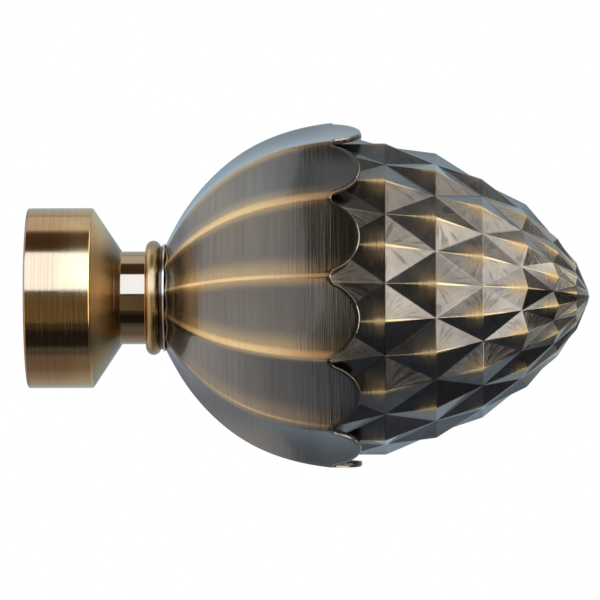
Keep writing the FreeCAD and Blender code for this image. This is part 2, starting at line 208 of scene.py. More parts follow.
def sheet_end(angle):
    """Where the sheet ends at an angle: round lobes with a small round notch at each ridge.

    The lobe's circle has a share of half a petal's width as its radius and ends at LOBE_END.
    The notch's circle starts at NOTCH_PLACE and is as large as it can be without crossing
    the lobe's. Each gives its centre plus or minus the root of its radius squared less the
    way across squared, and the point where they touch divides them.
    """
    from_ridge = np.abs(np.mod(angle + HALF, STEP) - HALF)
    mean_radius = RIM_RADIUS * (1 - FLUTE_DEPTH / 2)
    width = mean_radius * math.sin(HALF)
    across = mean_radius * np.sin(from_ridge)
    lobe = LOBE_SHARE * width
    lobe_centre = LOBE_END - lobe
    rise = lobe_centre - NOTCH_PLACE
    notch = (width ** 2 + rise ** 2 - lobe ** 2) / (2 * (LOBE_END - NOTCH_PLACE))
    notch_centre = NOTCH_PLACE + notch
    touch = notch * width / math.hypot(width, lobe_centre - notch_centre)
    on_lobe = lobe_centre + np.sqrt(np.maximum(lobe ** 2 - (across - width) ** 2, 0))
    in_notch = notch_centre - np.sqrt(np.maximum(notch ** 2 - across ** 2, 0))
    return np.where(across > touch, on_lobe, in_notch)


print("hollow part %.3f, lobes from %.1f to %.1f mm" % (
    hollow(HALF, RIM_RADIUS), sheet_end(0.0) / MM, sheet_end(HALF) / MM))

# %% [markdown]
# The skin runs in one closed loop at every angle: out of the screw hole, up the outside,
# round the rim, down the inside and back into the hole. Columns crowd together near the
# ridges, where the shape turns fastest, and rows crowd at the foot.

# %% the cup's skin
PER_PETAL = 36
OUTER_ROWS = 58
RIM_ROWS = 5
INNER_ROWS = 30
OUTER_CROWDING = 1.35
INNER_CROWDING = 1.3
RIM_ROUNDING = 0.28 * MM
SQUARENESS = 0.6
EVEN_SHARE = 0.35
COLUMN_CROWDING = 2.2
spread = np.linspace(-1, 1, PER_PETAL + 1)[:-1]
crowded = np.sign(spread) * np.abs(spread) ** COLUMN_CROWDING
petal_angles = HALF * (EVEN_SHARE * spread + (1 - EVEN_SHARE) * crowded)
cup_angles = (np.arange(PETALS)[:, None] * STEP + petal_angles[None, :]).ravel()
ends = sheet_end(cup_angles)


def sheet_rows(x_line, r_line, first_x, count, crowding):
    """Rows of places and radii from a first place to just short of the sheet's end.

    A row's place is the first one plus its share, raised to the crowding, of the way left.
    """
    share = np.linspace(0, 1, count)[:, None] ** crowding
    x = first_x + share * (ends[None, :] - RIM_ROUNDING - first_x)
    radius = np.interp(x, x_line, r_line)
    return x, radius * hollow(cup_angles[None, :], radius)


outer_x, outer_r = sheet_rows(line_x, line_r, CUP_START, OUTER_ROWS, OUTER_CROWDING)
inner_x, inner_r = sheet_rows(inside_x, inside_r, CUP_START + CUP_FLOOR, INNER_ROWS, INNER_CROWDING)
turn_over = np.linspace(0, 1, RIM_ROWS + 2)[1:-1, None] * math.pi
middle_r = (outer_r[-1] + inner_r[-1]) / 2
half_wall = (outer_r[-1] - inner_r[-1]) / 2
rim_x = ends - RIM_ROUNDING + RIM_ROUNDING * np.abs(np.sin(turn_over)) ** SQUARENESS
rim_r = middle_r + half_wall * np.sign(np.cos(turn_over)) * np.abs(np.cos(turn_over)) ** SQUARENESS
flat = np.ones((1, len(cup_angles)))
cup_x = np.concatenate([flat * CUP_START, outer_x, rim_x, inner_x[::-1], flat * (CUP_START + CUP_FLOOR)])
cup_r = np.concatenate([flat * HOLE_RADIUS, outer_r, rim_r, inner_r[::-1], flat * HOLE_RADIUS])
cup_points = around(cup_x, cup_r, cup_angles[None, :] + CUP_TURN)
cup = make_object("fluted_cup", cup_points, grid_faces(*cup_x.shape).tolist())
face_outward(cup)

# %% [markdown]
# A finish can only follow what the surface tells it. So each point keeps a number that says
# where on the rim it is: it rises to 1 at the rim's outer edge, which is painted pale as a
# painted highlight, and it is below 0 on the cut edge of the sheet, which is painted dark as
# painted shade and stays rough.

# %% where the rim is lit and shaded
RIM_RAMP_WIDTH = 1.2 * MM
OVER_THE_EDGE = np.array([1.0, 0.2, -1.0, -1.0, -0.3])
SHARP_FROM = math.radians(50)
outside = slice(0, 1 + OUTER_ROWS)
over_rim = slice(1 + OUTER_ROWS, 1 + OUTER_ROWS + RIM_ROWS)
# painted highlight and shade: 1 at the rim's outer edge is painted pale, and below 0 the cut edge is painted
# dark
rim_light_and_shade = np.zeros(cup_x.shape)
rim_light_and_shade[outside] = np.clip(1 - (ends[None, :] - cup_x[outside]) / RIM_RAMP_WIDTH, 0, 1)
rim_light_and_shade[over_rim] = OVER_THE_EDGE[:, None]
layer = cup.data.attributes.new("rim", "FLOAT", "POINT")
layer.data.foreach_set("value", rim_light_and_shade.ravel().astype(np.float32))
cup.data.shade_smooth()
cup.data.set_sharp_from_angle(angle=SHARP_FROM)
print("%d of %d points lie in the worn stretch" % ((rim_light_and_shade > 0).sum(), rim_light_and_shade.size))

# %% [markdown]
# ## The diamond cone
# Seven rings of pyramids shrink towards the tip. Around each ring, peaks and valleys take
# turns, and every other ring is turned by half a step, so that a peak always faces the
# valley of the next ring. Pulling the points of a sphere about would mean to place 91 peaks
# by hand. Here each ring is one peak and one valley, given as shares of the cone's length
# and radius, and repeated. The rows before them are the screw's hole, the seat on the cup's
# floor and the plain back under the lobes.

# %% the cone's points
WIDEST_RING = 54.55 * MM
CONE_LENGTH = 46.7 * MM
CONE_RADIUS = 29.9 * MM
THREAD_END = 42.15 * MM
THREAD_RADIUS = 3.0 * MM
SEAT = CUP_START + CUP_FLOOR
SEAT_RADIUS = 7.6 * MM
BACK_LENGTH = 5.0 * MM
BACK_RADIUS = 26.75 * MM
POINT_RADIUS = 0.02 * MM
PYRAMID_RINGS = np.array([
    ((0.000, 1.000), (0.000, 0.951)),
    ((0.210, 0.951), (0.210, 0.904)),
    ((0.404, 0.864), (0.402, 0.823)),
    ((0.582, 0.729), (0.582, 0.686)),
    ((0.752, 0.555), (0.729, 0.545)),
    ((0.872, 0.360), (0.852, 0.371)),
    ((0.945, 0.205), (0.940, 0.195))])
PLAIN_ROWS = np.array([
    (THREAD_END, POINT_RADIUS), (THREAD_END, THREAD_RADIUS), (SEAT, THREAD_RADIUS),
    (SEAT, SEAT_RADIUS), (WIDEST_RING - BACK_LENGTH, BACK_RADIUS)])
half_step = np.arange(2 * PETALS)
ring_number = np.arange(len(PYRAMID_RINGS))[:, None]
is_peak = (half_step + ring_number) % 2 == 0
pyramids = np.where(is_peak[..., None], PYRAMID_RINGS[:, None, 0], PYRAMID_RINGS[:, None, 1])
plain = np.repeat(PLAIN_ROWS[:, None], len(half_step), axis=1)
tip = np.zeros((1, len(half_step), 2)) + (WIDEST_RING + CONE_LENGTH, 0)
rows = np.concatenate([plain, pyramids * (CONE_LENGTH, CONE_RADIUS) + (WIDEST_RING, 0), tip])
cone_points = around(rows[..., 0], rows[..., 1], half_step * HALF)
print("%d rows of %d points" % rows.shape[:2])

# %% [markdown]
# Two triangles fill each half step between two rings. They are split so that the four
# edges of a pyramid run down from its peak. The same corners, as a row and a half step, are
# the UV map, which lets the finish know where on a pyramid it is. A narrow bevel then rounds
# the edges, as casting and plating do.

# %% the cone's facets
FIRST_RING = len(PLAIN_ROWS)
LAST_ROW = len(rows) - 1
TIP = LAST_ROW * len(half_step)
QUAD = [[(0, 0), (0, 1), (1, 1), (1, 0)]]
SPLIT_UP = [[(0, 0), (0, 1), (1, 0)], [(0, 1), (1, 1), (1, 0)]]
SPLIT_DOWN = [[(0, 0), (0, 1), (1, 1)], [(0, 0), (1, 1), (1, 0)]]
TO_TIP = [[(0, 0), (0, 1), (1, 0.5)]]
EDGE_WIDTH = 0.16 * MM
EDGE_SEGMENTS = 2
EDGE_FROM = math.radians(6)


def corners_on(first, last, faces, other_faces=None):
    """Corners, as row and half step, of the same small faces at every place of some rows.

    A place is added to each corner of the faces. Where other faces are given, they take
    every second place, as on a chessboard.
    """
    row, here = np.meshgrid(np.arange(first, last), half_step, indexing="ij")
    odd = ((row - FIRST_RING + here) % 2 == 1)[..., None, None, None]
    offsets = np.where(odd, other_faces or faces, faces)
    corners = np.stack([row, here], axis=-1)[:, :, None, None] + offsets
    return corners.reshape(-1, corners.shape[-2], 2)


def numbers_of(corners):
    """Point numbers of corners: half steps start again after a turn, the last row is the tip."""
    row, step = corners[..., 0], corners[..., 1]
    return np.minimum(row * len(half_step) + step % len(half_step), TIP).astype(int).tolist()


back = np.stack([0 * half_step, half_step], axis=-1)[None, ::-1]
corner_sets = [
    corners_on(0, FIRST_RING - 1, QUAD),
    corners_on(FIRST_RING - 1, LAST_ROW - 1, SPLIT_UP, SPLIT_DOWN),
    corners_on(LAST_ROW - 1, LAST_ROW, TO_TIP),
    back]
cone_faces = sum([numbers_of(corners) for corners in corner_sets], [])
lattice = np.concatenate([corners.reshape(-1, 2) for corners in corner_sets]) - (FIRST_RING, 0)
cone = make_object("diamond_cone", cone_points.reshape(-1, 3)[:TIP + 1], cone_faces)
places = cone.data.uv_layers.new(name="lattice")
places.data.foreach_set("uv", lattice.astype(np.float32).ravel())
face_outward(cone)
bevel = cone.modifiers.new("rounded edges", "BEVEL")
bevel.width = EDGE_WIDTH
bevel.segments = EDGE_SEGMENTS
bevel.limit_method = "ANGLE"
bevel.angle_limit = EDGE_FROM
bevel.harden_normals = True
cone.data.shade_smooth()

# %% [markdown]
# ## Node trees written as sums
# A procedural finish is a long sum of noises and masks. It could be wired up node by node,
# but then the sum is hard to see. Here a Wire is a value in the tree, and adding or
# multiplying Wires adds the nodes that do it.

# %% a value in a node tree
class Wire:
    """A value that travels through a node tree and answers to ordinary arithmetic."""

    def __init__(self, net, socket):
        self.net = net
        self.socket = socket

    def math(self, operation, *values):
        """A Math node with this value first."""
        inputs = dict(enumerate((self,) + values))
        return self.net.node("ShaderNodeMath", inputs, operation=operation)

    def __add__(self, other):
        return self.math("ADD", other)

    def __radd__(self, other):
        return self.math("ADD", other)

    def __sub__(self, other):
        return self.math("SUBTRACT", other)

    def __rsub__(self, other):
        return self.math("MULTIPLY_ADD", -1.0, other)

    def __mul__(self, other):
        return self.math("MULTIPLY", other)

    def __rmul__(self, other):
        return self.math("MULTIPLY", other)

    def __truediv__(self, other):
        return self.math("DIVIDE", other)

    def __neg__(self):
        return self.math("MULTIPLY", -1.0)

    def __abs__(self):
        return self.math("ABSOLUTE")

    def most(self, other):
        """The larger of two values."""
        return self.math("MAXIMUM", other)

    def step(self, low, high):
        """Rises smoothly from 0 at the low value to 1 at the high one."""
        inputs = {"Value": self, "From Min": low, "From Max": high}
        return self.net.node("ShaderNodeMapRange", inputs, interpolation_type="SMOOTHSTEP")

    def fall(self, low, high):
        """Falls smoothly from 1 at the low value to 0 at the high one."""
        return 1.0 - self.step(low, high)

    def hill(self, foot, top, edge, end):
        """Rises from foot to top, stays at 1 up to the edge and falls to 0 at the end."""
        return self.step(foot, top) * self.fall(edge, end)


# %% [markdown]
# The Net stands for the whole tree. It makes any other node from its type, its inputs and
# its settings, and it has short names for the few nodes that every finish uses.

# %% a node tree
class Net:
    """The node tree of a material or of the world, emptied and filled again."""

    def __init__(self, owner):
        owner.use_nodes = True
        self.tree = owner.node_tree
        self.tree.nodes.clear()

    def node(self, kind, inputs=None, output=0, stops=(), **settings):
        """A node of a type with its ramp's stops, its settings and its inputs, by name or number."""
        made = self.tree.nodes.new(kind)
        for place, level in stops[1:-1]:
            made.color_ramp.elements.new(place).color = level
        if stops:
            made.color_ramp.elements[0].color = stops[0][1]
            made.color_ramp.elements[-1].color = stops[-1][1]
        for name, value in settings.items():
            setattr(made, name, value)
        for name, value in (inputs or {}).items():
            self.feed(made.inputs[name], value)
        return Wire(self, made.outputs[output]) if made.outputs else None

    def feed(self, socket, value):
        """A Wire is linked to the socket, anything else becomes its set value."""
        if isinstance(value, Wire):
            self.tree.links.new(value.socket, socket)
        else:
            socket.default_value = value

    def mix(self, factor, first, second, blend="MIX"):
        """The first colour where the factor is 0, blended with the second where it is 1."""
        inputs = {0: factor, 6: first, 7: second}
        return self.node("ShaderNodeMix", inputs, output=2, data_type="RGBA", blend_type=blend)

    def vector(self, x, y, z):
        """Three numbers as a vector."""
        return self.node("ShaderNodeCombineXYZ", {0: x, 1: y, 2: z})

    def parts(self, vector):
        """The three numbers of a vector."""
        return [self.node("ShaderNodeSeparateXYZ", {0: vector}, output=axis) for axis in range(3)]

    def noise(self, vector, scale, detail=2.0):
        """Soft noise between 0 and 1 with so many spots per metre."""
        inputs = {"Vector": vector, "Scale": scale, "Detail": detail}
        return self.node("ShaderNodeTexNoise", inputs, output="Fac")

    def object_spots(self):
        """Where a point lies on its object, in metres."""
        return self.node("ShaderNodeTexCoord", output="Object")

    def camera_sees(self):
        """1 where the camera looks straight at something, 0 in reflections and for light."""
        return self.node("ShaderNodeLightPath", output="Is Camera Ray")


# %% [markdown]
# All the finishes here are metals that were brushed or turned, so they share four helpers: a
# colour, noise drawn out into scratches, small heights, and the metal itself. The last
# helper below makes the material and puts it on the pieces.

# %% helpers for metal
def colour(red, green, blue):
    """A solid colour for a socket."""
    return (red, green, blue, 1.0)


def brushed(net, spots, fine, coarse):
    """Noise drawn out into lines round the X axis: fine along X, coarse across it."""
    x, y, z = net.parts(spots)
    return net.noise(net.vector(x * fine, y * coarse, z * coarse), 1.0)


def metal_shader(net, metal, roughness, bump, **more):
    """A metal from its colour, roughness and bump, and from a coat or another input where named."""
    inputs = {"Base Color": metal, "Metallic": 1.0, "Roughness": roughness, "Normal": bump}
    inputs.update(more)
    return net.node("ShaderNodeBsdfPrincipled", inputs)


def relief(net, height, strength, depth=0.12 * MM):
    """Small heights as a Bump node."""
    return net.node("ShaderNodeBump", {"Strength": strength, "Distance": depth, "Height": height})


def finish(name, pieces, build):
    """A material whose tree is built by a function, put on the given objects."""
    material = bpy.data.materials.new(name)
    net = Net(material)
    net.node("ShaderNodeOutputMaterial", {"Surface": build(net)})
    for piece in pieces:
        piece.data.materials.clear()
        piece.data.materials.append(material)
    print("finish", name, "on", [piece.name for piece in pieces], "with", len(net.tree.nodes), "nodes")


# %% [markdown]
# ## Bright brass for the cap
# The cap is brushed on the lathe, so its scratches run round the axis. A picture of
# scratches would blur close up, so fine noise squeezed along X stands for them, both as a
# bump and as a change of roughness. The collar is painted more golden towards the shoulder,
# which is painted light. The shoulder is painted darker underneath and towards its narrow end,
# and the mouth's edge is painted dark: both are painted shade. The neck beyond the shoulder is
# polished, so the scratches fade out there.

# %% bright brass
SHOULDER_START = 11.9 * MM
SHOULDER_END = 16.9 * MM


def bright_brass(net):
    """Brushed brass whose colour and roughness change with the place along the axis."""
    spots = net.object_spots()
    x, z = net.parts(spots)[::2]
    neck = x.step(SHOULDER_END - 0.3 * MM, SHOULDER_END + 0.3 * MM)
    shoulder = x.step(SHOULDER_START - 0.2 * MM, SHOULDER_START + 0.2 * MM) - neck
    # painted shade: the mouth's edge, the shoulder's narrow end and its underside are painted darker
    shaded_mouth = x.fall(0.2 * MM, 0.6 * MM)
    shaded_narrow_end = x.step(13.0 * MM, 16.2 * MM)
    shaded_underside = (-z).step(4.0 * MM, 11.0 * MM)
    hair = brushed(net, spots, fine=9000.0, coarse=18.0)
    band = brushed(net, spots, fine=3200.0, coarse=14.0)
    cloud = net.noise(spots, 90.0)
    # painted light: the collar is painted more golden towards the shoulder, mottled by noise
    lit_golden = x.step(4.5 * MM, 11.0 * MM) * cloud.step(0.3, 0.6) * (1.0 - neck) * (1.0 - shoulder * 0.7)
    shade = (hair * 0.5 + band * 0.5).step(0.3, 0.7)
    metal = net.mix(shade, colour(0.66, 0.385, 0.16), colour(0.82, 0.51, 0.235))
    for mask, paint in (
            (lit_golden, colour(1.0, 0.65, 0.27)),
            (cloud.step(0.45, 0.75) * 0.2, colour(0.56, 0.31, 0.12)),
            (neck * 0.9, colour(0.635, 0.43, 0.23)),
            (shoulder * 0.8, colour(0.98, 0.68, 0.33)),
            (shoulder * shaded_narrow_end * 0.9, colour(0.17, 0.12, 0.07)),
            (shoulder * shaded_underside * 0.5, colour(0.26, 0.15, 0.06)),
            (shaded_mouth * 0.7, colour(0.20, 0.15, 0.09))):
        metal = net.mix(mask, metal, paint)
    on_shoulder = shoulder * (0.20 - x.step(13.0 * MM, 15.5 * MM) * 0.12)
    roughness = 0.11 + lit_golden * 0.07 + on_shoulder - neck * 0.05 + band * 0.03
    bump = relief(net, hair * 0.8 + band * 0.3, strength=0.16 + shoulder * 0.34 - neck * 0.14)
    return metal_shader(net, metal, roughness, bump)


finish("bright brass", [nodes["pole_cap"]], bright_brass)

# %% [markdown]
# ## Polished brass for the bead
# The bead and the ring beside it are turned from one piece and polished, and the groove
# between them is painted dark. A dull, cloudy brass reads as polished once it mirrors
# the room. The ring is paler, because polishing reaches it best.

# %% polished brass
GROOVE_START = 23.75 * MM
GROOVE_END = 24.5 * MM


def polished_brass(net):
    """Cloudy brass with a dark groove and a pale ring, told apart by the place along the axis."""
    spots = net.object_spots()
    x = net.parts(spots)[0]
    hair = brushed(net, spots, fine=9000.0, coarse=30.0)
    cloud = net.noise(spots, 350.0)
    groove = x.hill(GROOVE_START, GROOVE_START + 0.2 * MM, GROOVE_END - 0.15 * MM, GROOVE_END)
    ring = x.step(GROOVE_END - 0.1 * MM, GROOVE_END + 0.1 * MM)
    metal = net.mix(hair.step(0.3, 0.7), colour(0.48, 0.31, 0.13), colour(0.57, 0.375, 0.165))
    metal = net.mix(cloud.step(0.5, 0.8) * 0.4, metal, colour(0.38, 0.24, 0.10))
    metal = net.mix(groove * 0.9, metal, colour(0.09, 0.06, 0.045))
    metal = net.mix(ring * 0.8, metal, colour(1.0, 0.78, 0.56))
    return metal_shader(net, metal, 0.16 + cloud * 0.10, relief(net, hair, strength=0.45))


finish("polished brass", [nodes["neck_bead"]], polished_brass)

# %% [markdown]
# ## Antique brass for the cup
# The cup was stained dark and then brushed back on a lathe, so brass shows through wherever
# the brush could press: along the ridges and on the rim, whose pale outer edge is also a
# painted highlight. Wear painted by hand would be lost with each change of size, so a mask
# measures how far a point is from the nearest ridge, and streaky noise frays its edge. The
# bright bands are wide in front, lie more above a ridge than below it, and are narrow at the
# sides and almost gone underneath: that is painted light and shade laid over the wear.

# %% antique brass
# painted shade: the cup is painted dark at its foot, next to the bead's groove
FOOT_SHADE = (27.5 * MM, 30.0 * MM)


def ridge_masks(net, spots, lines, hair, cloud):
    """The bright core, the glow beside it and the warm stain around it, along each ridge.

    The angle round the axis, less the nearest ridge's, times a radius between the point's
    own and the rim's is the way to the ridge. It counts two to three times on one side.
    """
    x, y, z = net.parts(spots)
    angle = z.math("ARCTAN2", -y) - (TURN + CUP_TURN)
    below = (-angle).step(0.1, 0.4)
    lowest = (-angle).step(0.6, 0.9)
    at_sides = abs(angle.math("SINE")).step(0.93, 0.98)
    radius = (y * y + z * z).math("SQRT") * 0.65 + RIM_RADIUS * 0.35
    beside = ((angle + HALF).math("FLOORED_MODULO", STEP) - HALF) * radius
    # painted light: the bands sit higher than their ridges and are wider on the ridges one step either side
    # of the front
    offset = beside - below * (0.6 * MM) - 0.2 * MM
    from_band = offset.most(0.0) + (-offset).most(0.0) * (below + 2.0)
    lit_width = abs(abs(angle) - STEP).fall(0.05, 0.3) * (1.0 - below * 0.35)
    core = ((from_band + (hair - 0.5) * (0.5 * MM)) / (lit_width * (0.9 * MM) + 0.5 * MM)).fall(0.3, 1.2)
    fray = from_band + (lines - 0.5) * (1.1 * MM) + (cloud - 0.5) * (0.8 * MM)
    # painted shade: the bands fade at the sides, at the foot and underneath
    shade_below = 0.75 - x.step(30.0 * MM, 42.0 * MM) * 0.4
    lit_share = (1.0 - at_sides * 0.85) * (1.0 - x.fall(*FOOT_SHADE) * 0.3) * (1.0 - lowest * shade_below)
    glow = fray.fall(0.0, 4.2 * MM) * (lines * 0.28 + 0.17)
    bright = (core * 0.72 + glow) * lit_share * (1.0 - below * 0.15)
    warm = fray.fall(1.0 * MM, 4.8 * MM) * lit_share
    return bright, warm


def antique_brass(net):
    """Stained brass, bright along the ridges and on the rim, with a painted highlight on the rim's edge and
    painted shade at the foot and on the cut edge.
    """
    spots = net.object_spots()
    x = net.parts(spots)[0]
    rim = net.node("ShaderNodeAttribute", attribute_name="rim", output="Fac")
    hair = brushed(net, spots, fine=9000.0, coarse=40.0)
    band = brushed(net, spots, fine=3000.0, coarse=30.0)
    cloud = net.noise(spots, 140.0)
    mottle = net.noise(spots, 1500.0)
    lines = hair.step(0.35, 0.65) * 0.6 + band.step(0.35, 0.65) * 0.4
    bright, warm = ridge_masks(net, spots, lines, hair, cloud)
    foot = x.fall(*FOOT_SHADE)
    shaded_cut_edge = (-rim).step(0.05, 0.6)
    gold = net.mix(x.step(40.0 * MM, 54.0 * MM), colour(0.92, 0.69, 0.35), colour(0.93, 0.55, 0.27))
    edge_shade_paint = net.mix(mottle.step(0.42, 0.62), colour(0.035, 0.028, 0.030), colour(0.15, 0.125, 0.11))
    metal = net.mix(lines, colour(0.128, 0.122, 0.112), colour(0.188, 0.179, 0.165))
    for mask, paint in (
            (x.step(41.0 * MM, 47.0 * MM) * 0.4, colour(0.085, 0.082, 0.076)),
            (x.step(50.5 * MM, 55.0 * MM) * 0.8, colour(0.27, 0.265, 0.24)),
            (foot * 0.8, colour(0.030, 0.028, 0.027)),
            (warm * 0.45, colour(0.36, 0.27, 0.15)),
            (bright, gold),
            # painted highlight on the rim's outer edge; the cut edge after it gets painted shade
            (rim.step(0.86, 0.97), colour(0.52, 0.49, 0.36)),
            (shaded_cut_edge, edge_shade_paint)):
        metal = net.mix(mask, metal, paint)
    height = lines * 0.8 + band * 0.3 + shaded_cut_edge * mottle * 2.0
    bump = relief(net, height, strength=0.14 + shaded_cut_edge * 0.3)
    roughness = 0.13 + bright * 0.26 + foot * 0.12 + lines * 0.05 + shaded_cut_edge * 0.2
    coat = {"Coat Weight": 0.9 - shaded_cut_edge * 0.6 - bright * 0.4, "Coat Roughness": 0.08}
    return metal_shader(net, metal, roughness, bump, **coat)


finish("antique brass", [cup], antique_brass)

# %% [markdown]
# ## Antique cast metal for the cone
# Every pyramid is stained dark in its valleys and brushed bright on its peak and on the
# four edges that run down from it. The UV map counts rings and half steps, and a little
# arithmetic turns that into the way to the nearest peak: peaks lie where the half sum and
# the half difference of the two counts are both whole.

# %% where a point is on its pyramid
class OnPyramid:
    """The nearest peak's number, the way to it along and round the axis, and what comes of that."""

    def __init__(self, net, spots):
        self.u, self.v = net.parts(net.node("ShaderNodeUVMap", uv_map="lattice"))[:2]
        peak_p = ((self.u + self.v) * 0.5 + 0.5).math("FLOOR")
        peak_q = ((self.u - self.v) * 0.5 + 0.5).math("FLOOR")
        self.number = peak_p * 3.7 + peak_q * 7.1
        self.along = self.u - (peak_p + peak_q)
        self.across = self.v - (peak_p - peak_q)
        self.side = abs(self.across)
        self.away = abs(self.along) + self.side
        self.facing_tip = self.along.step(-0.02, 0.02)
        self.facing_pole = 1.0 - self.facing_tip
        self.small = self.u.step(3.0, 6.5)
        self.tiny_facets = self.small.step(0.05, 0.6)
        y, z = net.parts(spots)[1:]
        height = z / ((z * z + y * y).math("SQRT") + 0.1 * MM)
        # painted light: the marks are strongest in front and fade to a quarter at the top and bottom
        self.front_light = abs(height).fall(0.78, 0.95) * 0.75 + 0.25
        self.low = (z + self.across.step(-0.02, 0.02) * (10.0 * MM)).fall(-8.0 * MM, -1.0 * MM)


# %% [markdown]
# The brush leaves three marks, and the brightest one counts at each point: a flare on the
# side of the peak that faces the pole, thin bright lines down the edges, and a flame beside
# the peak that is drawn out round the axis. A weaker golden glow lies around them. Both are
# strongest in front and fade towards the top and the bottom, which is painted light.

# %% rubbed bright
def brush_marks(at, streak, hair, band):
    """The bright marks on a pyramid and the glow around them, both between 0 and 1."""
    near_peak = at.away.fall(0.0, 0.9)
    flare = near_peak * near_peak * (at.small * 0.12 + 0.14) + 0.016
    crest = (at.side / flare + (streak - 0.5) * 1.4).fall(0.1, 1.0) * at.facing_pole
    past_notch = at.u.step(0.6, 1.1) * 0.85 + 0.15
    line = (at.side / (near_peak * 0.05 + 0.012)).fall(0.3, 1.0)
    line = line * at.facing_tip * near_peak.step(0.02, 0.3) * past_notch * 0.75
    lick = (at.side + (streak - 0.5) * 0.24).fall(0.0, 0.26)
    flame = (abs(at.along) + (band - 0.5) * 0.25).fall(0.0, 0.5) * lick * lick * lick * at.facing_pole
    bright = crest.most(line).most(at.away.fall(0.0, 0.10)).most(flame) * at.front_light
    glow = (abs(at.along) + (streak - 0.5) * 0.6).fall(0.0, 0.6)
    glow = glow * (at.side + (hair - 0.5) * 0.9).fall(0.0, 0.65)
    return bright, glow


# %% [markdown]
# The facets aren't quite flat, and dark streaks are painted in their folds: painted
# reflections. Noise in the two directions away from the peak gives folds that fan out from it.
# Each pyramid reads another part of the noise by its number, and so no two look the same.
# Near the tip whole facets come out light or dark.

# %% antique cast metal
def antique_cast(net):
    """Stained cast metal with folded facets, brushed bright on the peaks and edges."""
    spots = net.object_spots()
    at = OnPyramid(net, spots)
    hair = brushed(net, spots, fine=8000.0, coarse=260.0)
    band = brushed(net, spots, fine=2600.0, coarse=200.0)
    cloud = net.noise(spots, 260.0)
    streak = hair * 0.5 + band * 0.5
    bright, glow = brush_marks(at, streak, hair, band)
    turned = at.across.math("ARCTAN2", abs(at.along))
    folds = net.noise(net.vector(turned * 4.5 + at.away * 0.8, at.away * 0.9, at.number), 1.0, detail=3.0)
    folded = at.facing_tip.most(at.u.step(1.6, 2.4) * 0.8) * (1.0 - at.low * 0.85)
    off_the_peak = at.away.step(0.05, 0.35) * (1.0 - at.away.step(0.75, 1.0) * 0.6)
    # painted reflections: dark streaks in the folds of the facets
    fold_reflections = folds.step(0.53, 0.64) * folded * off_the_peak
    by_facet = net.vector(at.number * 5.3, turned.math("SIGN") * 7.7, 0.0)
    by_triangle = net.vector(at.number * 9.1, at.along.math("SIGN") * 3.3, at.across.math("SIGN") * 5.7)
    tone = net.noise(by_facet, 1.0, detail=0.0).step(0.3, 0.7)
    patch = net.noise(by_triangle, 1.0, detail=0.0).step(0.40, 0.60)
    metal = net.mix(streak.step(0.25, 0.75), colour(0.205, 0.205, 0.200), colour(0.275, 0.273, 0.264))
    tip_side = net.mix(tone, colour(0.155, 0.148, 0.140), colour(0.250, 0.232, 0.208))
    mosaic = net.mix(patch, colour(0.045, 0.045, 0.048), colour(0.62, 0.60, 0.53))
    for mask, paint in (
            (at.facing_tip, tip_side),
            (cloud.fall(0.35, 0.65) * 0.25, colour(0.0, 0.0, 0.0)),
            (fold_reflections * 0.8, colour(0.07, 0.062, 0.055)),
            (at.tiny_facets * 0.85, mosaic),
            (glow * (at.facing_pole * 0.6 + 0.1) * at.front_light, colour(0.60, 0.40, 0.16)),
            (bright, colour(1.0, 0.81, 0.44))):
        metal = net.mix(mask, metal, paint)
    height = hair * at.facing_pole * 0.2 + folds * folded * 0.8 + cloud * 0.6
    bump = relief(net, height, strength=0.35, depth=0.2 * MM)
    roughness = 0.15 + bright * 0.26 + glow * at.facing_pole * 0.22 + at.facing_pole * 0.10 + cloud * 0.05
    coat = {"Coat Weight": 0.9 - bright * 0.4 - at.tiny_facets * 0.5, "Coat Roughness": 0.06}
    return metal_shader(net, metal, roughness, bump, **coat)


finish("antique cast metal", [cone], antique_cast)

# %% [markdown]
# ## Steel for the screws
# The fixing screw hides inside the socket and is plated bright. The grub screw goes through
# the collar's wall at the back and is blackened. Neither needs more than a little noise,
# because both are small.

# %% screws
def zinc_steel(net):
    """Pale plated steel with faint turning marks."""
    spots = net.object_spots()
    hair = brushed(net, spots, fine=5000.0, coarse=300.0)
    cloud = net.noise(spots, 500.0)
    metal = net.mix(hair, colour(0.46, 0.47, 0.48), colour(0.66, 0.66, 0.64))
    return metal_shader(net, metal, 0.28 + cloud * 0.15, relief(net, hair, strength=0.1, depth=0.1 * MM))


def black_steel(net):
    """Blackened steel, a little uneven."""
    cloud = net.noise(net.object_spots(), 900.0)
    metal = net.mix(cloud, colour(0.035, 0.035, 0.037), colour(0.11, 0.105, 0.10))
    bump = relief(net, cloud, strength=0.15, depth=0.1 * MM)
    return metal_shader(net, metal, 0.35 + cloud * 0.15, bump, Metallic=0.8)


finish("zinc plated steel", [nodes["fixing_screw"]], zinc_steel)
finish("black steel", [nodes["grub_screw"]], black_steel)

# %% [markdown]
# ## The pieces take the place of their nodes
# Each new surface rides on the one body and stands for its solid, whose node is hidden, and
# the table gives the material slot it is finished in. The other four nodes stay as they are,
# with their new finishes.

# %% pieces and nodes
STANDS_FOR = ((cup, "leaf_cup", "antique_brass"), (cone, "faceted_cone", "antique_cast_brass"))
for piece, node_name, slot in STANDS_FOR:
    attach(piece, "root")
    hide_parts(node_name)
    print(piece.name, "stands for", node_name)

# %% [markdown]
# ## Light
# Polished metal shows what stands round it, so most of its look is the room. One lamp or a
# plain white world would leave it flat. Here the world paints a room by direction: east is
# +X, north is away from the camera and top is up. First comes the profile, which follows
# the angle round the X axis: 0 is towards the camera, 90 straight up and 180 behind.

